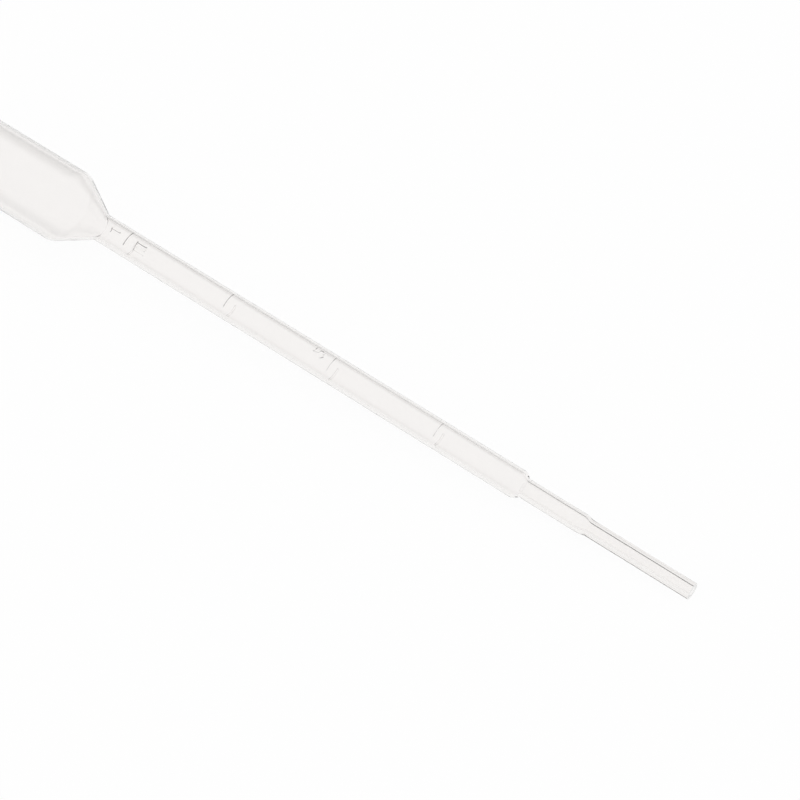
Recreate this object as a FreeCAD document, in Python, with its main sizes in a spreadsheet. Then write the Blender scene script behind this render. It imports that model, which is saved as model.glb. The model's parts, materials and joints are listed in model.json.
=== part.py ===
"""Graduated plastic dropper pipette, blow-moulded in one piece.

The body is drawn along its own X axis: the cut end of the tip is at X = 0 and the
squeeze bulb is towards +X.  The mould opens along Z, so the graduations stand out in
the middle of each mould half, on +Z and -Z, and the halves meet in the XY plane.
The body's Placement then lays it down as it rests on a table, which is the plane
Z = 0: the tip points to +X, and it touches with the bulb and with the tip's end.
"""

import FreeCAD
import Part

import math
import os

import Sketcher

NODE = "pipette_body"

# Alias, value in millimetres or degrees, meaning.
SIZES = [
    ("total_length", 155.0, "from the cut tip to the weld on the bulb's end"),
    ("tip_length", 18.9, "thin part of the tip"),
    ("tip_diameter", 2.8, "outside the thin part of the tip"),
    ("tip_bore", 1.5, "inside the thin part of the tip"),
    ("step_length", 1.0, "taper between the two parts of the tip"),
    ("collar_diameter", 3.3, "outside the thick part of the tip"),
    ("collar_bore", 2.3, "inside the thick part of the tip"),
    ("collar_end", 31.2, "from the cut tip to the foot of the shoulder"),
    ("shoulder_length", 0.6, "steep cone that widens the tip to the stem"),
    ("shoulder_wall", 0.5, "wall of the shoulder, along the axis"),
    ("stem_diameter", 4.8, "outside the graduated stem"),
    ("stem_bore", 3.9, "inside the graduated stem"),
    ("neck", 115.7, "from the cut tip to the foot of the bulb's cone"),
    ("cone_half_angle", 30.0, "slope of the bulb's cone to the axis"),
    ("cone_shift", 0.1, "how far the inner cone lies towards the bulb"),
    ("bulb_diameter", 12.9, "outside the squeeze bulb"),
    ("bulb_wall", 0.4, "wall of the bulb, which is blown thinnest"),
    ("end_radius", 5.6, "rounding of the bulb's closed end"),
    ("bulb_radius", 2.5, "rounding between the bulb and its cone"),
    ("neck_radius", 0.5, "rounding at the foot of the cone"),
    ("shoulder_radius", 0.7, "rounding where the stem meets the shoulder"),
    ("foot_radius", 0.3, "rounding at the foot of the shoulder"),
    ("step_radius", 2.0, "rounding at both ends of the step"),
    ("first_mark", 47.2, "from the cut tip to the lowest graduation"),
    ("mark_spacing", 20.8, "a quarter of a millilitre of the stem's bore"),
    ("mark_count", 4, "graduations on each side of the stem"),
    ("mark_width", 0.3, "a graduation is a round bead, half sunk in the wall"),
    ("mark_sweep", 66.0, "how far round the stem a graduation reaches"),
    ("weld_height", 0.5, "how far the pinched weld stands out of the bulb's end"),
    ("weld_thickness", 0.8, "across the pinched weld"),
    ("weld_reach", 3.6, "half the weld's length across the bulb's end"),
    ("weld_root", 0.8, "how far the weld's ends lie below the crown"),
    ("weld_rounding", 0.2, "rounding along the weld's crest"),
    ("lying_roll", 10.0, "turn of the graduations from straight up, as it lies"),
]

CONE_RUN = "/ tan(Sizes.cone_half_angle * 1 deg)"
BULB_END = "Sizes.total_length - Sizes.weld_height"


def make_sheet(doc):
    """The spreadsheet of driving dimensions: one row and one alias each."""
    sheet = doc.addObject("Spreadsheet::Sheet", "Sizes")
    for row, (alias, value, meaning) in enumerate(SIZES, start=1):
        sheet.set(f"A{row}", alias)
        sheet.set(f"B{row}", str(value))
        sheet.set(f"C{row}", meaning)
        sheet.setAlias(f"B{row}", alias)
    doc.recompute()
    return sheet


def origin_feature(body, role):
    """One of the body's own origin planes or axes."""
    return next(item for item in body.Origin.OriginFeatures if item.Role == role)


def new_sketch(body, name, plane):
    """An empty sketch on one of the body's origin planes."""
    sketch = body.newObject("Sketcher::SketchObject", name)
    sketch.AttachmentSupport = [(origin_feature(body, plane), "")]
    sketch.MapMode = "FlatFace"
    return sketch


def bind(sketch, kind, rule, *ends):
    """A dimension of the sketch whose value follows an expression."""
    value = float(sketch.evalExpression(rule))
    index = sketch.addConstraint(Sketcher.Constraint(kind, *ends, value))
    sketch.setExpression(f"Constraints[{index}]", rule)


def draw_outline(sketch, corners):
    """A closed chain of lines.

    Each corner is a pair of expressions, its distance along X and along Y.  None
    keeps the corner on the other axis.
    """
    points = [
        FreeCAD.Vector(*[float(sketch.evalExpression(rule or "0")) for rule in corner])
        for corner in corners
    ]
    for start, end in zip(points, points[1:] + points[:1]):
        sketch.addGeometry(Part.LineSegment(start, end))
    for line, (along, across) in enumerate(corners):
        following = (line + 1) % len(corners)
        sketch.addConstraint(Sketcher.Constraint("Coincident", line, 2, following, 1))
        if along is None:
            sketch.addConstraint(Sketcher.Constraint("PointOnObject", line, 1, -2))
        else:
            bind(sketch, "DistanceX", along, -1, 1, line, 1)
        if across is None:
            sketch.addConstraint(Sketcher.Constraint("PointOnObject", line, 1, -1))
        else:
            bind(sketch, "DistanceY", across, -1, 1, line, 1)


# The sharp corners of the wall's section, by name: along the axis from the cut tip,
# and out from the axis.
OUTSIDE = {
    "tip_rim": (None, "Sizes.tip_diameter / 2"),
    "step_low": ("Sizes.tip_length", "Sizes.tip_diameter / 2"),
    "step_high": ("Sizes.tip_length + Sizes.step_length", "Sizes.collar_diameter / 2"),
    "foot": ("Sizes.collar_end", "Sizes.collar_diameter / 2"),
    "shoulder": ("Sizes.collar_end + Sizes.shoulder_length", "Sizes.stem_diameter / 2"),
    "neck": ("Sizes.neck", "Sizes.stem_diameter / 2"),
    "bulb": (
        f"Sizes.neck + (Sizes.bulb_diameter - Sizes.stem_diameter) / 2 {CONE_RUN}",
        "Sizes.bulb_diameter / 2",
    ),
    "end": (BULB_END, "Sizes.bulb_diameter / 2"),
    "crown": (BULB_END, None),
}
INSIDE = {
    "crown": (f"{BULB_END} - Sizes.bulb_wall", None),
    "end": (f"{BULB_END} - Sizes.bulb_wall", "Sizes.bulb_diameter / 2 - Sizes.bulb_wall"),
    "bulb": (
        "Sizes.neck + Sizes.cone_shift"
        f" + (Sizes.bulb_diameter / 2 - Sizes.bulb_wall - Sizes.stem_bore / 2) {CONE_RUN}",
        "Sizes.bulb_diameter / 2 - Sizes.bulb_wall",
    ),
    "neck": ("Sizes.neck + Sizes.cone_shift", "Sizes.stem_bore / 2"),
    "shoulder": (
        "Sizes.collar_end + Sizes.shoulder_length + Sizes.shoulder_wall",
        "Sizes.stem_bore / 2",
    ),
    "foot": ("Sizes.collar_end + Sizes.shoulder_wall", "Sizes.collar_bore / 2"),
    "step_high": ("Sizes.tip_length + Sizes.step_length", "Sizes.collar_bore / 2"),
    "step_low": ("Sizes.tip_length", "Sizes.tip_bore / 2"),
    "tip_rim": (None, "Sizes.tip_bore / 2"),
}

# Name, side of the wall, corners, radius.  The wall follows each bend, so the side
# inside the bend has the smaller radius: the inner side of the bulb and of the
# shoulder's top, and the outer side of the neck and of the shoulder's foot.
ROUNDINGS = [
    ("BulbEnd", OUTSIDE, ["end"], "Sizes.end_radius"),
    ("BulbEndInside", INSIDE, ["end"], "Sizes.end_radius - Sizes.bulb_wall"),
    ("BulbFront", OUTSIDE, ["bulb"], "Sizes.bulb_radius"),
    ("BulbFrontInside", INSIDE, ["bulb"], "Sizes.bulb_radius - Sizes.bulb_wall"),
    ("Neck", OUTSIDE, ["neck"], "Sizes.neck_radius"),
    ("NeckInside", INSIDE, ["neck"], "Sizes.neck_radius + Sizes.bulb_wall"),
    ("Shoulder", OUTSIDE, ["shoulder"], "Sizes.shoulder_radius"),
    ("ShoulderInside", INSIDE, ["shoulder"], "Sizes.foot_radius"),
    ("Foot", OUTSIDE, ["foot"], "Sizes.foot_radius"),
    ("FootInside", INSIDE, ["foot"], "Sizes.shoulder_radius"),
    ("Step", OUTSIDE, ["step_low", "step_high"], "Sizes.step_radius"),
    ("StepInside", INSIDE, ["step_low", "step_high"], "Sizes.step_radius"),
]


def revolve_wall(body):
    """The hollow body: one section of the wall, turned about the axis."""
    section = new_sketch(body, "WallSection", "XY_Plane")
    draw_outline(section, list(OUTSIDE.values()) + list(INSIDE.values()))
    wall = body.newObject("PartDesign::Revolution", "Wall")
    wall.Profile = section
    wall.ReferenceAxis = (section, ["H_Axis"])
    wall.Angle = 360.0
    return wall


def ring_edge(body, corner):
    """The name of the circular edge that a corner of the section made."""
    along, radius = [float(body.evalExpression(rule)) for rule in corner]
    for number, edge in enumerate(body.Tip.Shape.Edges, start=1):
        circle = edge.Curve
        if (
            isinstance(circle, Part.Circle)
            and abs(circle.Center.x - along) < 1e-4
            and abs(circle.Radius - radius) < 1e-4
            and abs(circle.Axis.x) > 0.999
        ):
            return f"Edge{number}"
    raise ValueError(f"no ring at {along:.3f} of radius {radius:.3f}")


def round_rings(body):
    """Rounds the corners of the wall, outside and inside."""
    for name, side, corners, radius in ROUNDINGS:
        base = body.Tip
        edges = [ring_edge(body, side[corner]) for corner in corners]
        rounding = body.newObject("PartDesign::Fillet", name)
        rounding.Base = (base, edges)
        rounding.setExpression("Radius", radius)
        body.Document.recompute()


def raise_graduations(body):
    """Beads part of the way round the stem, the same on both mould halves."""
    section = new_sketch(body, "MarkSection", "XZ_Plane")
    section.addGeometry(Part.Circle(FreeCAD.Vector(0, 0, 0), FreeCAD.Vector(0, 0, 1), 1))
    bind(section, "DistanceX", "Sizes.first_mark", -1, 1, 0, 3)
    bind(section, "DistanceY", "Sizes.stem_diameter / 2", -1, 1, 0, 3)
    bind(section, "Radius", "Sizes.mark_width / 2", 0)
    mark = body.newObject("PartDesign::Revolution", "Mark")
    mark.Profile = section
    mark.ReferenceAxis = (section, ["H_Axis"])
    mark.Midplane = True
    mark.setExpression("Angle", "Sizes.mark_sweep * 1 deg")
    body.Document.recompute()

    marks = body.newObject("PartDesign::MultiTransform", "Graduations")
    along = body.newObject("PartDesign::LinearPattern", "AlongStem")
    along.Direction = (origin_feature(body, "X_Axis"), [""])
    along.setExpression("Length", "Sizes.mark_spacing * (Sizes.mark_count - 1)")
    along.setExpression("Occurrences", "Sizes.mark_count")
    around = body.newObject("PartDesign::PolarPattern", "OppositeSides")
    around.Axis = (origin_feature(body, "X_Axis"), [""])
    around.Angle = 360.0
    around.Occurrences = 2
    marks.Originals = [mark]
    marks.Transformations = [along, around]
    body.Tip = marks
    body.Document.recompute()


def weld_bulb_end(body):
    """The pinched weld that closes the bulb: a crest across its end, fading out.

    Its section lies in the plane where the mould halves meet.  Two arcs share their
    ends inside the wall, one proud of the bulb's end and one under its surface.
    """
    reach = float(body.evalExpression("Sizes.weld_reach"))
    root = float(body.evalExpression(f"{BULB_END} - Sizes.weld_root"))
    crest = float(body.evalExpression("Sizes.total_length"))
    buried = float(body.evalExpression(f"{BULB_END} - Sizes.bulb_wall / 2"))
    section = new_sketch(body, "WeldSection", "XY_Plane")
    arcs = [
        (crest, "(Sizes.weld_root + Sizes.weld_height)"),
        (buried, "(Sizes.weld_root - Sizes.bulb_wall / 2)"),
    ]
    for arc, (apex, rise) in enumerate(arcs):
        section.addGeometry(
            Part.Arc(
                FreeCAD.Vector(root, -reach, 0),
                FreeCAD.Vector(apex, 0, 0),
                FreeCAD.Vector(root, reach, 0),
            )
        )
        bind(section, "Radius", f"(Sizes.weld_reach ^ 2 + {rise} ^ 2) / (2 * {rise})", arc)
        section.addConstraint(Sketcher.Constraint("PointOnObject", arc, 3, -1))
    section.addConstraint(Sketcher.Constraint("Coincident", 0, 1, 1, 1))
    section.addConstraint(Sketcher.Constraint("Coincident", 0, 2, 1, 2))
    bind(section, "DistanceX", f"{BULB_END} - Sizes.weld_root", -1, 1, 0, 2)
    bind(section, "DistanceY", "Sizes.weld_reach", -1, 1, 0, 2)
    weld = body.newObject("PartDesign::Pad", "Weld")
    weld.Profile = section
    weld.Midplane = True
    weld.setExpression("Length", "Sizes.weld_thickness")
    body.Document.recompute()

    crest_edges = [
        f"Edge{number}"
        for number, edge in enumerate(weld.Shape.Edges, start=1)
        if isinstance(edge.Curve, Part.Circle)
        and abs(edge.Curve.Axis.z) > 0.999
        and edge.BoundBox.XMax > crest - 1e-3
    ]
    rounding = body.newObject("PartDesign::Fillet", "WeldCrest")
    rounding.Base = (weld, crest_edges)
    rounding.setExpression("Radius", "Sizes.weld_rounding")
    body.Document.recompute()


def lay_down(body):
    """Rests the body on the plane Z = 0, on its bulb and its tip, centred in X and Y.

    The bulb touches on the rounding between its cylinder and its cone, so the axis
    slopes down to the tip by the angle of the line that touches both.
    """
    cell = body.Document.getObject("Sizes").get
    turn = math.radians(cell("cone_half_angle"))
    rounding = cell("bulb_radius")
    corner, bulb_radius = [float(body.evalExpression(rule)) for rule in OUTSIDE["bulb"]]
    along = corner + rounding * math.tan(turn / 2)
    rise = bulb_radius - rounding - cell("tip_diameter") / 2
    slope = math.asin(rounding / math.hypot(along, rise)) + math.atan2(rise, along)

    roll = FreeCAD.Rotation(FreeCAD.Vector(1, 0, 0), cell("lying_roll"))
    tip_down = FreeCAD.Rotation(FreeCAD.Vector(0, 1, 0), math.degrees(slope))
    tip_forward = FreeCAD.Rotation(FreeCAD.Vector(0, 0, 1), 180)
    body.Placement = FreeCAD.Placement(FreeCAD.Vector(0, 0, 0), tip_down * roll * tip_forward)
    box = body.Shape.optimalBoundingBox()
    body.Placement.Base = FreeCAD.Vector(-(box.XMin + box.XMax) / 2, 0, -box.ZMin)
    body.Document.recompute()
    return math.degrees(slope)


def check_document(doc):
    """Stops if a feature failed, or if the body isn't one valid solid."""
    for item in doc.Objects:
        if "Invalid" in item.State or "Error" in item.State:
            raise RuntimeError(f"{item.Name} failed: {item.State}")
    for body in doc.findObjects("PartDesign::Body"):
        shape = body.Shape
        if shape.isNull() or not shape.isValid() or len(shape.Solids) != 1:
            raise RuntimeError(f"{body.Label} is not one valid solid")


def main():
    doc = FreeCAD.newDocument("Pipette")
    make_sheet(doc)
    body = doc.addObject("PartDesign::Body", "PipetteBody")
    body.Label = NODE
    revolve_wall(body)
    doc.recompute()
    round_rings(body)
    raise_graduations(body)
    weld_bulb_end(body)
    slope = lay_down(body)
    check_document(doc)

    os.makedirs("parts", exist_ok=True)
    body.Shape.exportStep(f"parts/{NODE}.step")
    box = body.Shape.optimalBoundingBox()
    print(f"{NODE}: {body.Shape.Volume:.1f} mm3, axis slopes {slope:.2f} degrees,")
    print(f"  {box.XLength:.2f} x {box.YLength:.2f} x {box.ZLength:.2f} mm,")
    print(f"  {len(body.Shape.Faces)} faces")


main()
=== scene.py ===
"""Graduated plastic dropper pipette: its looks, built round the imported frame.

Sizes are in millimetres in the pipette's own frame, and in metres for the floor.  X runs
along the axis from the cut tip to the bulb, Z points out of the mould half that carries
the numbers, and the mould halves meet in the XY plane.  Angles round the axis are counted
from Z towards -Y, which is the side that the numbers are read towards.
"""

import json
import math

import bpy
import numpy as np
from mathutils import Matrix, Vector


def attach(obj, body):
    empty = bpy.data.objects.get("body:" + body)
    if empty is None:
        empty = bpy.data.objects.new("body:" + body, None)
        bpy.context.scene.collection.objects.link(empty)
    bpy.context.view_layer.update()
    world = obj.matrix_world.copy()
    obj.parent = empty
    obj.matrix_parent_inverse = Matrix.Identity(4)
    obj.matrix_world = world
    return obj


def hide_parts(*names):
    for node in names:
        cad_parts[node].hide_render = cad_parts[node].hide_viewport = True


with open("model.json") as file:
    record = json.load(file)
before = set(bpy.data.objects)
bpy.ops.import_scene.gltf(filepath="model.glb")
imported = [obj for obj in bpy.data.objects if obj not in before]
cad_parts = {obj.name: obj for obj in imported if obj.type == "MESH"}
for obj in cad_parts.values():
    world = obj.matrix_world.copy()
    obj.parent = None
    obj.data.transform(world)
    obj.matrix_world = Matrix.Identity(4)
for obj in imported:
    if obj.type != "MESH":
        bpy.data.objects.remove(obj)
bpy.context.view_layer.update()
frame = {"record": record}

MM = 0.001
NODE = "pipette_body"

# The outside of the wall: radii, and places along the axis from the cut tip.
TIP_RADIUS = 1.4
COLLAR_RADIUS = 1.65
STEM_RADIUS = 2.4
BULB_RADIUS = 6.45
STEP_START = 18.9
STEP_END = 19.9
SHOULDER_START = 30.9
SHOULDER_END = 31.7
NECK = 115.7
END = 154.5
CONE_HALF_ANGLE = 30.0
CONE_SLOPE = math.tan(math.radians(CONE_HALF_ANGLE))

# The inside.  The wall is thinnest in the bulb.  The inside's shoulder ends, and its cone
# starts, a little nearer the bulb than the outside's.
TIP_BORE_RADIUS = 0.75
COLLAR_BORE_RADIUS = 1.15
STEM_BORE_RADIUS = 1.95
BULB_WALL = 0.4
CAVITY_RADIUS = BULB_RADIUS - BULB_WALL
INNER_SHOULDER_END = 32.0
INNER_NECK = 115.78
INNER_END = END - BULB_WALL

# Roundings of the section's corners.
CUT_ROUNDING = 0.05
STEP_ROUNDING = 2.0
FOOT_ROUNDING = 0.5
INNER_FOOT_ROUNDING = 0.8
SHOULDER_ROUNDING = 1.2
INNER_SHOULDER_ROUNDING = 0.6
NECK_ROUNDING = 0.6
INNER_NECK_ROUNDING = 1.05
FRONT_ROUNDING = 2.5
END_ROUNDING = 5.6

# The section, as corners (along the axis, out from it, rounding): down the outside from
# the bulb's end, across the cut tip and back up the inside.
OUTSIDE = [
    (END, 0.0, 0.0),
    (END, BULB_RADIUS, END_ROUNDING),
    (NECK + (BULB_RADIUS - STEM_RADIUS) / CONE_SLOPE, BULB_RADIUS, FRONT_ROUNDING),
    (NECK, STEM_RADIUS, NECK_ROUNDING),
    (SHOULDER_END, STEM_RADIUS, SHOULDER_ROUNDING),
    (SHOULDER_START, COLLAR_RADIUS, FOOT_ROUNDING),
    (STEP_END, COLLAR_RADIUS, STEP_ROUNDING),
    (STEP_START, TIP_RADIUS, STEP_ROUNDING),
    (0.0, TIP_RADIUS, CUT_ROUNDING),
]
INSIDE = [
    (0.0, TIP_BORE_RADIUS, CUT_ROUNDING),
    (STEP_START, TIP_BORE_RADIUS, STEP_ROUNDING),
    (STEP_END, COLLAR_BORE_RADIUS, STEP_ROUNDING),
    (SHOULDER_START, COLLAR_BORE_RADIUS, INNER_FOOT_ROUNDING),
    (INNER_SHOULDER_END, STEM_BORE_RADIUS, INNER_SHOULDER_ROUNDING),
    (INNER_NECK, STEM_BORE_RADIUS, INNER_NECK_ROUNDING),
    (
        INNER_NECK + (CAVITY_RADIUS - STEM_BORE_RADIUS) / CONE_SLOPE,
        CAVITY_RADIUS,
        FRONT_ROUNDING - BULB_WALL,
    ),
    (INNER_END, CAVITY_RADIUS, END_ROUNDING - BULB_WALL),
    (INNER_END, 0.0, 0.0),
]

# The graduations.  On the numbered half a mark's height falls by MARK_LEAN of itself
# from its middle to the reader's right, and rises by as much to the left.
FIRST_MARK = 47.2
MARK_SPACING = 20.8
MARK_COUNT = 4
MARKS = [FIRST_MARK + MARK_SPACING * k for k in range(MARK_COUNT)]
MARK_HALF_SWEEP = 33.0
MARK_HALF_WIDTH = 0.15
MARK_HEIGHT = 0.16
MARK_LEAN = 0.55
BACK_MARK_HEIGHT = 0.21

# The pinched weld over the bulb's end, and how steeply its sides fall beyond its rounding.
WELD_REACH = 3.6
WELD_RISE = 0.5
WELD_ROOT = 0.8
WELD_HALF_THICKNESS = 0.4
WELD_ROUNDING = 0.2
WELD_STEEPNESS = 12.0

# How square the section of a mark or a stroke is: 2 would be half round.
RIDGE_POWER = 4

# Strokes of the raised characters: where the foot of the text stands on the axis, and
# its strokes, each a height and a run of points (to the right round the stem, up towards
# the bulb).
STROKE_HALF_WIDTH = 0.15
TEXTS = [
    (111.25, [
        (0.34, [(-0.6, 1.42), (-0.28, 1.56), (0.0, 1.6)]),
        (0.17, [(0.0, 1.6), (0.0, 0.0)]),
    ]),
    (105.6, [
        (0.34, [(-1.38, 1.9), (-0.9, 2.0), (-0.8, 1.9), (-0.7, 2.0), (0.2, 2.03)]),
        (0.12, [(-1.38, 1.8), (-1.38, 0.0)]),
        (0.12, [(-0.8, 1.8), (-0.8, 0.0)]),
        (0.12, [(-0.3, 1.9), (-0.3, 0.1)]),
        (0.22, [(-0.5, 0.05), (-0.25, 0.05)]),
        (0.14, [(0.25, 2.0), (0.25, 0.2)]),
    ]),
    (69.7, [
        (0.22, [(-0.22, 0.25), (0.12, -0.02)]),
        (0.14, [(0.95, 1.85), (0.25, 1.85)]),
        (0.06, [(0.25, 1.85), (0.45, 1.1)]),
        (0.07, [(0.45, 1.1), (0.75, 1.1), (1.05, 0.9), (1.1, 0.5)]),
        (0.07, [(1.1, 0.5), (0.9, 0.2), (0.55, 0.15)]),
    ]),
]

LYING_ROLL = 10.0

# How close together the mesh's rings are, in millimetres (in a rounding, in degrees of
# its arc), and its lines, in degrees.
ARC_STEP = 6.0
FEWEST_ARC_STEPS = 3
RING_STEP = 4.0
WELD_STEP = 0.12
TEXT_STEP = 0.03
LINE_STEP = 3.6
TEXT_LINE_STEP = 0.6

# How far the closer ones reach: along the axis from the bulb's end, and a little further
# for its lines, past each end of a text, and round from a text's middle (degrees).
WELD_DEPTH = 1.6
WELD_MARGIN = 0.2
TEXT_MARGIN = 0.2
TEXT_SWEEP = 39.0

# Where the rings by a mark lie, as shares of its half width, the share up to which they
# have its lines, and where the lines lie past a mark's end and off the weld (degrees).
OFF_MARK = [0.0, 0.4, 0.7, 0.88, 0.97, 1.0, 1.1, 1.3]
MARK_LINES_SHARE = 1.35
PAST_MARK_END = [-1.0, 0.0, 1.0, 2.0, 2.8, 3.3, 3.6, 4.0]
OFF_SEAM = [0.0, 0.35, 0.7, 1.1, 1.6, 2.3, 3.2, 4.5, 6.0, 8.0, 11.0]

# Tolerances: a range's own end, a ring on the stem, a point on the cut, and two rings in
# one place.
SLACK = 0.01
ON_STEM = 1e-3
ON_CUT = 1e-4
SAME_PLACE = 1e-5

# The floor in metres, and the floor's and the room's brightness as shares of white.
# Seen through the plastic, the floor fades out between two places along Y, and the room
# is dim where it turns away from ROOM_FRONT.  Both are there for the dark band along the
# stem's upper edge.
FLOOR_HALF_SIZE = 3.0
FLOOR_PAPER = 0.9
FLOOR_GLOW = 0.95
FLOOR_DARK_FROM = 0.040
FLOOR_LIT_TO = 0.015
ROOM_FRONT = (0.33, -0.89, 0.3)
ROOM_DARK_TO = -0.8
ROOM_LIT_FROM = -0.4
ROOM_DIM = 0.15


def rounded(corners):
    """The profile's points, with an arc at each corner that has a rounding."""
    points = []
    for index, (along, out, rounding) in enumerate(corners):
        corner = Vector((along, out))
        if rounding == 0.0:
            points.append(corner)
            continue
        back = (Vector(corners[index - 1][:2]) - corner).normalized()
        ahead = (Vector(corners[index + 1][:2]) - corner).normalized()
        half = back.angle(ahead) / 2
        centre = corner + (back + ahead).normalized() * rounding / math.sin(half)
        reach = rounding / math.tan(half)
        first = corner + back * reach - centre
        last = corner + ahead * reach - centre
        sweep = first.angle_signed(last)
        steps = max(FEWEST_ARC_STEPS, math.ceil(abs(sweep) / math.radians(ARC_STEP)))
        for step in range(steps + 1):
            turned = Matrix.Rotation(-sweep * step / steps, 2) @ first
            points.append(centre + turned)
    return points


def text_reach(foot, runs):
    """Where along the axis a text starts and ends."""
    top = max(up for _, run in runs for _, up in run)
    return foot - TEXT_MARGIN, foot + top + TEXT_MARGIN


def detail_places():
    """Where along the axis the outside needs rings close together."""
    marks = [
        mark + side * share * MARK_HALF_WIDTH
        for mark in MARKS
        for share in OFF_MARK
        for side in (-1, 1)
    ]
    texts = [place for text in TEXTS for place in np.arange(*text_reach(*text), TEXT_STEP)]
    return sorted(marks + texts)


def stepped(points, places=()):
    """The same chain with rings close enough together, and one at each place."""
    chain = [points[0]]
    for start, end in zip(points, points[1:]):
        longest = WELD_STEP if places and end.x > END - WELD_DEPTH else RING_STEP
        parts = math.ceil((end - start).length / longest)
        shares = {k / parts for k in range(1, parts + 1)}
        shares |= {
            (place - start.x) / (end.x - start.x)
            for place in places
            if min(start.x, end.x) < place < max(start.x, end.x)
        }
        chain += [start.lerp(end, share) for share in sorted(shares)]
    return chain


def lines_with(*more):
    """Angles of the lines along the wall: even ones, and more where there is detail."""
    even = np.arange(0.0, 360.0, LINE_STEP)
    return np.unique(np.round(np.concatenate([even, *more]) % 360, 3))


PLAIN_LINES = lines_with()
MARK_LINES = lines_with(
    *(
        middle + side * (MARK_HALF_SWEEP + np.array(PAST_MARK_END))
        for middle in (0.0, 180.0)
        for side in (-1, 1)
    )
)
TEXT_LINES = lines_with(np.arange(-TEXT_SWEEP, TEXT_SWEEP + SLACK, TEXT_LINE_STEP))
WELD_LINES = lines_with(
    *(seam + side * np.array(OFF_SEAM) for seam in (90.0, 270.0) for side in (-1, 1))
)


def lines_at(along, is_outside):
    """The lines that a ring at a place on the axis needs."""
    if not is_outside:
        return PLAIN_LINES
    if along > END - WELD_DEPTH - WELD_MARGIN:
        return WELD_LINES
    if any(abs(along - mark) < MARK_LINES_SHARE * MARK_HALF_WIDTH for mark in MARKS):
        return MARK_LINES
    for text in TEXTS:
        start, end = text_reach(*text)
        if start - SLACK < along < end + SLACK:
            return TEXT_LINES
    return PLAIN_LINES


def away_from_run(across, up, run):
    """Distance from each point to a run of straight strokes."""
    nearest = np.full(np.broadcast(across, up).shape, np.inf)
    for (u0, v0), (u1, v1) in zip(run, run[1:]):
        du, dv = u1 - u0, v1 - v0
        share = ((across - u0) * du + (up - v0) * dv) / (du * du + dv * dv)
        share = np.clip(share, 0.0, 1.0)
        gap = np.hypot(across - u0 - share * du, up - v0 - share * dv)
        nearest = np.minimum(nearest, gap)
    return nearest


def ridge(distance, half_width, height):
    """Height of a ridge with steep sides and a rounded top."""
    share = np.clip(1.0 - (distance / half_width) ** RIDGE_POWER, 0.0, None)
    return height * share ** (1 / RIDGE_POWER)


def raised(along, out, angle):
    """Height of the raised detail over the outside wall, along one ring."""
    height = np.zeros(len(angle))
    if abs(out - STEM_RADIUS) > ON_STEM:
        return height
    turn = (angle + math.pi) % (2 * math.pi) - math.pi
    off_middle = np.minimum(np.abs(turn), math.pi - np.abs(turn))
    half_sweep = math.radians(MARK_HALF_SWEEP)
    beyond = np.clip(off_middle - half_sweep, 0.0, None) * STEM_RADIUS
    lean = MARK_LEAN * np.clip(turn / half_sweep, -1.0, 1.0)
    on_front = np.abs(turn) < math.pi / 2
    rise = np.where(on_front, MARK_HEIGHT * (1.0 - lean), BACK_MARK_HEIGHT)
    for mark in MARKS:
        gap = np.hypot(along - mark, beyond)
        height = np.maximum(height, ridge(gap, MARK_HALF_WIDTH, rise))
    across = turn * STEM_RADIUS
    for foot, runs in TEXTS:
        for rise, run in runs:
            gap = away_from_run(across, along - foot, run)
            height = np.maximum(height, ridge(gap, STROKE_HALF_WIDTH, rise))
    return height


def weld_face(y, z):
    """How far along the axis the pinched weld reaches, over the bulb's end."""
    rise = WELD_RISE + WELD_ROOT
    radius = (WELD_REACH**2 + rise**2) / (2 * rise)
    crest = END + WELD_RISE - radius + np.sqrt(np.clip(radius**2 - y**2, 0.0, None))
    over = np.clip(np.abs(z) - WELD_HALF_THICKNESS + WELD_ROUNDING, 0.0, None)
    edge = WELD_ROUNDING - np.sqrt(np.clip(WELD_ROUNDING**2 - over**2, 0.0, None))
    cliff = np.clip(np.abs(z) - WELD_HALF_THICKNESS, 0.0, None) * WELD_STEEPNESS
    return np.where(np.abs(y) < WELD_REACH, crest - edge - cliff, -np.inf)


def strip(first, first_lines, second, second_lines):
    """Faces between two rings of vertices, joined where they share lines."""
    shared = np.intersect1d(first_lines, second_lines)
    starts = np.searchsorted(first_lines, shared)
    landings = np.searchsorted(second_lines, shared)
    faces = []
    for k in range(len(shared)):
        here, there = starts[k], starts[(k + 1) % len(shared)]
        low, high = landings[k], landings[(k + 1) % len(shared)]
        count = (there - here) % len(first_lines)
        rise = (high - low) % len(second_lines)
        up = [second + (low + step) % len(second_lines) for step in range(rise + 1)]
        back = [first + (here + step) % len(first_lines) for step in range(count, -1, -1)]
        faces.append([int(vertex) for vertex in up + back])
    return faces


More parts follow.
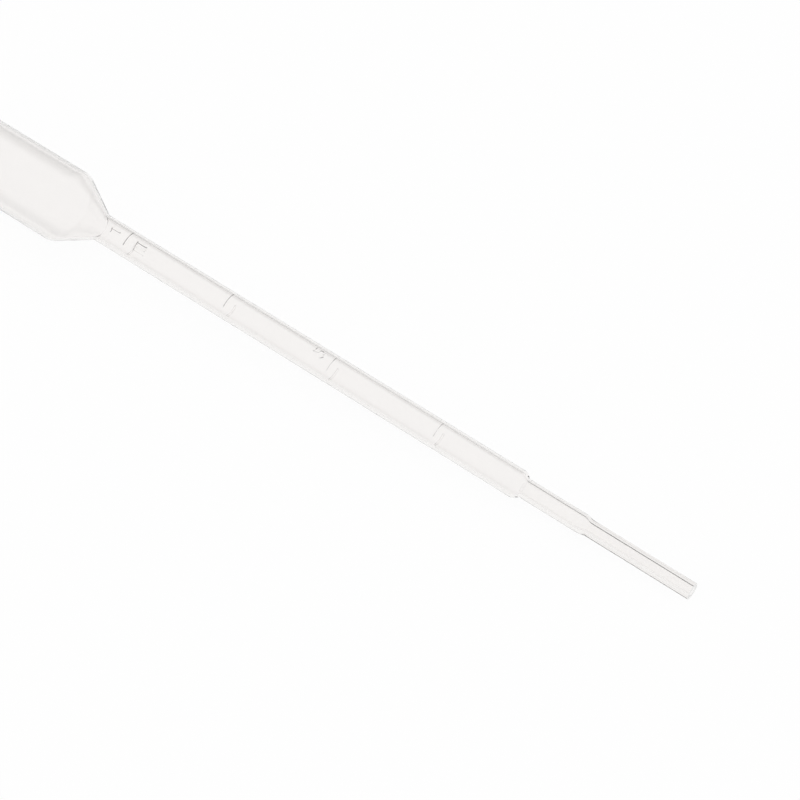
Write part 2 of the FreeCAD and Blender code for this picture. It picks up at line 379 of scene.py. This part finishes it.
def lathed_wall():
    """Vertices and faces of the hollow wall, closed at the bulb's end, outside and inside."""
    chain = rounded(OUTSIDE + INSIDE)
    cut = next(i for i, p in enumerate(chain) if p.x < ON_CUT)
    outside = stepped(chain[: cut + 1], detail_places())
    inside = stepped(chain[cut:])
    rows = np.array([(p.x, p.y) for p in outside + inside[1:]])
    outer_count = len(outside)

    # Rings in one place become one.
    keep = np.r_[True, np.hypot(*np.diff(rows, axis=0).T) > SAME_PLACE]
    outer_count -= int(np.sum(~keep[:outer_count]))
    rows = rows[keep]
    tangent = rows[2:] - rows[:-2]
    tangent /= np.linalg.norm(tangent, axis=1)[:, None]
    normal = np.c_[tangent[:, 1], -tangent[:, 0]]

    # One vertex for the bulb's end outside, the rings, and one for its end inside.
    vertices = [np.array([[float(weld_face(np.array(0.0), np.array(0.0))), 0.0, 0.0]])]
    rings = []
    for index in range(1, len(rows) - 1):
        along, out = rows[index]
        is_outside = index < outer_count
        lines = lines_at(along, is_outside)
        angle = np.radians(lines)
        height = raised(along, out, angle) if is_outside else np.zeros(len(angle))
        x = along + height * normal[index - 1, 0]
        radius = out + height * normal[index - 1, 1]
        y = -radius * np.sin(angle)
        z = radius * np.cos(angle)
        if is_outside and along > END - WELD_DEPTH:
            x = np.maximum(x, weld_face(y, z))
        rings.append((sum(len(part) for part in vertices), lines))
        vertices.append(np.stack([x, y, z], axis=-1))
    far_pole = sum(len(part) for part in vertices)
    vertices.append(np.array([[rows[-1][0], 0.0, 0.0]]))

    base, lines = rings[0]
    faces = [(0, base + k, base + (k + 1) % len(lines)) for k in range(len(lines))]
    for ring, following in zip(rings, rings[1:]):
        faces += strip(*ring, *following)
    base, lines = rings[-1]
    faces += [(far_pole, base + (k + 1) % len(lines), base + k) for k in range(len(lines))]
    return np.vstack(vertices), faces


def resting_place():
    """From the pipette's own frame to the row's, in metres."""
    mount = next(m for m in frame["record"]["mounts"] if m["name"] == "tip_orifice")
    towards_tip = Vector(mount["axis"])
    tip = Vector(mount["pos_m"]) + towards_tip * mount["dims"]["length_mm"] * MM / 2
    slope = math.asin(-towards_tip.z)
    lay = (
        Matrix.Rotation(slope, 4, "Y")
        @ Matrix.Rotation(math.radians(LYING_ROLL), 4, "X")
        @ Matrix.Rotation(math.pi, 4, "Z")
    )
    return Matrix.Translation(tip) @ lay @ Matrix.Scale(MM, 4)


def new_material(name):
    """An empty material, with its nodes and links."""
    material = bpy.data.materials.new(name)
    material.use_nodes = True
    material.node_tree.nodes.clear()
    return material, material.node_tree.nodes, material.node_tree.links


def noise(nodes, links, scale, detail):
    """Noise over the object's own coordinates."""
    place = nodes.new("ShaderNodeTexCoord")
    texture = nodes.new("ShaderNodeTexNoise")
    texture.inputs["Scale"].default_value = scale
    texture.inputs["Detail"].default_value = detail
    links.new(place.outputs["Object"], texture.inputs["Vector"])
    return texture.outputs["Fac"]


def blend(nodes, links, share, first, second):
    """A colour that goes from a first to a second as a share goes from 0 to 1."""
    mix = nodes.new("ShaderNodeMix")
    mix.data_type = "RGBA"
    mix.inputs["A"].default_value = (*first, 1.0)
    mix.inputs["B"].default_value = (*second, 1.0)
    links.new(share, mix.inputs["Factor"])
    return mix.outputs["Result"]


def translucent_plastic():
    """Low-density polyethylene: clear enough to see the far wall, with a faint tint."""
    material, nodes, links = new_material("ldpe")
    haze = noise(nodes, links, 160.0, 3.0)
    rough = nodes.new("ShaderNodeMapRange")
    rough.inputs["To Min"].default_value = 0.04
    rough.inputs["To Max"].default_value = 0.09
    links.new(haze, rough.inputs["Value"])
    tint = blend(nodes, links, haze, (0.972, 0.966, 0.961), (0.987, 0.979, 0.972))
    bump = nodes.new("ShaderNodeBump")
    bump.inputs["Strength"].default_value = 0.15
    bump.inputs["Distance"].default_value = 0.00005
    links.new(noise(nodes, links, 900.0, 2.0), bump.inputs["Height"])

    wall = nodes.new("ShaderNodeBsdfPrincipled")
    wall.inputs["IOR"].default_value = 1.51
    wall.inputs["Transmission Weight"].default_value = 1.0
    links.new(tint, wall.inputs["Base Color"])
    links.new(rough.outputs["Result"], wall.inputs["Roughness"])
    links.new(bump.outputs["Normal"], wall.inputs["Normal"])

    # Shadow rays pass straight through, a little dimmed.
    see_through = nodes.new("ShaderNodeBsdfTransparent")
    see_through.inputs["Color"].default_value = (0.93, 0.93, 0.93, 1.0)
    path = nodes.new("ShaderNodeLightPath")
    mix = nodes.new("ShaderNodeMixShader")
    links.new(path.outputs["Is Shadow Ray"], mix.inputs["Fac"])
    links.new(wall.outputs["BSDF"], mix.inputs[1])
    links.new(see_through.outputs["BSDF"], mix.inputs[2])

    # Light is tinted on its way through the wall.
    depth = nodes.new("ShaderNodeVolumeAbsorption")
    depth.inputs["Color"].default_value = (0.42, 0.28, 0.2, 1.0)
    depth.inputs["Density"].default_value = 60.0

    output = nodes.new("ShaderNodeOutputMaterial")
    links.new(mix.outputs["Shader"], output.inputs["Surface"])
    links.new(depth.outputs["Volume"], output.inputs["Volume"])
    return material


def sheared_plastic():
    """The cut end of the tip, taken to be rough and white from the knife."""
    material, nodes, links = new_material("ldpe_cut")
    grain = noise(nodes, links, 3000.0, 2.0)
    tint = blend(nodes, links, grain, (0.84, 0.835, 0.825), (0.93, 0.925, 0.915))
    face = nodes.new("ShaderNodeBsdfPrincipled")
    face.inputs["Roughness"].default_value = 0.6
    links.new(tint, face.inputs["Base Color"])
    output = nodes.new("ShaderNodeOutputMaterial")
    links.new(face.outputs["BSDF"], output.inputs["Surface"])
    return material


def build_pipette():
    """The pipette, as one mesh in place of the CAD's body."""
    vertices, faces = lathed_wall()
    mesh = bpy.data.meshes.new("pipette")
    mesh.from_pydata(vertices.tolist(), [], faces)
    # The cut end of the tip has the second material.
    for polygon in mesh.polygons:
        if polygon.center.x < CUT_ROUNDING:
            polygon.material_index = 1
    mesh.transform(resting_place())
    mesh.polygons.foreach_set("use_smooth", [True] * len(mesh.polygons))
    mesh.materials.append(translucent_plastic())
    mesh.materials.append(sheared_plastic())
    mesh.validate()
    piece = bpy.data.objects.new("pipette", mesh)
    bpy.context.scene.collection.objects.link(piece)
    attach(piece, "root")
    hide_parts(NODE)


def combine(nodes, links, operation, first, second):
    """One value from a first and a second, which may be a number."""
    node = nodes.new("ShaderNodeMath")
    node.operation = operation
    links.new(first, node.inputs[0])
    if isinstance(second, float):
        node.inputs[1].default_value = second
    else:
        links.new(second, node.inputs[1])
    return node.outputs["Value"]


def fade(nodes, links, value, dark, bright):
    """A factor that goes smoothly from 0 to 1 as a value goes from dark to bright."""
    share = nodes.new("ShaderNodeMapRange")
    share.interpolation_type = "SMOOTHSTEP"
    share.inputs["From Min"].default_value = dark
    share.inputs["From Max"].default_value = bright
    links.new(value, share.inputs["Value"])
    return share.outputs["Result"]


def glow_share(nodes, links):
    """How far the floor shows as white: directly, or in gloss and through the plastic.

    Other light sees plain paper, so the floor keeps the pipette's shadow.
    """
    path = nodes.new("ShaderNodeLightPath")
    direct = path.outputs["Is Camera Ray"]
    seen = combine(nodes, links, "MAXIMUM", direct, path.outputs["Is Glossy Ray"])
    seen = combine(nodes, links, "MAXIMUM", seen, path.outputs["Is Transmission Ray"])
    place = nodes.new("ShaderNodeTexCoord")
    parts = nodes.new("ShaderNodeSeparateXYZ")
    links.new(place.outputs["Object"], parts.inputs["Vector"])
    lit = fade(nodes, links, parts.outputs["Y"], FLOOR_DARK_FROM, FLOOR_LIT_TO)
    seen = combine(nodes, links, "MULTIPLY", seen, lit)
    seen = combine(nodes, links, "MAXIMUM", seen, direct)
    return combine(nodes, links, "MULTIPLY", seen, FLOOR_GLOW)


def make_floor():
    """A pale floor that the pipette lies on."""
    mesh = bpy.data.meshes.new("floor")
    corners = [
        (x * FLOOR_HALF_SIZE, y * FLOOR_HALF_SIZE, 0.0)
        for x, y in ((-1, -1), (1, -1), (1, 1), (-1, 1))
    ]
    mesh.from_pydata(corners, [], [(0, 1, 2, 3)])
    material, nodes, links = new_material("floor")
    paper = nodes.new("ShaderNodeBsdfDiffuse")
    paper.inputs["Color"].default_value = (FLOOR_PAPER, FLOOR_PAPER, FLOOR_PAPER, 1.0)
    glow = nodes.new("ShaderNodeEmission")
    glow.inputs["Strength"].default_value = 1.0
    mix = nodes.new("ShaderNodeMixShader")
    links.new(glow_share(nodes, links), mix.inputs["Fac"])
    links.new(paper.outputs["BSDF"], mix.inputs[1])
    links.new(glow.outputs["Emission"], mix.inputs[2])
    output = nodes.new("ShaderNodeOutputMaterial")
    links.new(mix.outputs["Shader"], output.inputs["Surface"])
    mesh.materials.append(material)
    floor = bpy.data.objects.new("floor", mesh)
    bpy.context.scene.collection.objects.link(floor)


def make_world():
    """A soft room: white all round, and dim low down behind the pipette."""
    world = bpy.data.worlds.new("studio")
    world.use_nodes = True
    nodes = world.node_tree.nodes
    links = world.node_tree.links
    nodes.clear()
    place = nodes.new("ShaderNodeTexCoord")
    facing = nodes.new("ShaderNodeVectorMath")
    facing.operation = "DOT_PRODUCT"
    facing.inputs[1].default_value = ROOM_FRONT
    links.new(place.outputs["Generated"], facing.inputs[0])
    lit = fade(nodes, links, facing.outputs["Value"], ROOM_DARK_TO, ROOM_LIT_FROM)
    room = nodes.new("ShaderNodeBackground")
    dim = (ROOM_DIM, ROOM_DIM, ROOM_DIM)
    links.new(blend(nodes, links, lit, dim, (1.0, 1.0, 1.0)), room.inputs["Color"])
    output = nodes.new("ShaderNodeOutputWorld")
    links.new(room.outputs["Background"], output.inputs["Surface"])
    bpy.context.scene.world = world


def add_camera():
    """The photo's angle: angles in degrees, the rest in millimetres."""
    elevation = math.radians(53.40)
    bearing = math.radians(-53.94)
    distance = 415.0
    aim = Vector((21.842, 1.300, 4.457))
    away = Vector((
        math.cos(elevation) * math.cos(bearing),
        math.cos(elevation) * math.sin(bearing),
        math.sin(elevation),
    ))
    camera = bpy.data.cameras.new("camera")
    camera.sensor_width = 36.0
    camera.lens = 118.4
    camera.clip_start = 0.01
    holder = bpy.data.objects.new("camera", camera)
    holder.location = (aim + away * distance) * MM
    holder.rotation_euler = away.to_track_quat("Z", "Y").to_euler()
    bpy.context.scene.collection.objects.link(holder)
    bpy.context.scene.camera = holder


build_pipette()
make_floor()
make_world()
add_camera()

bpy.context.scene.view_settings.view_transform = "Standard"
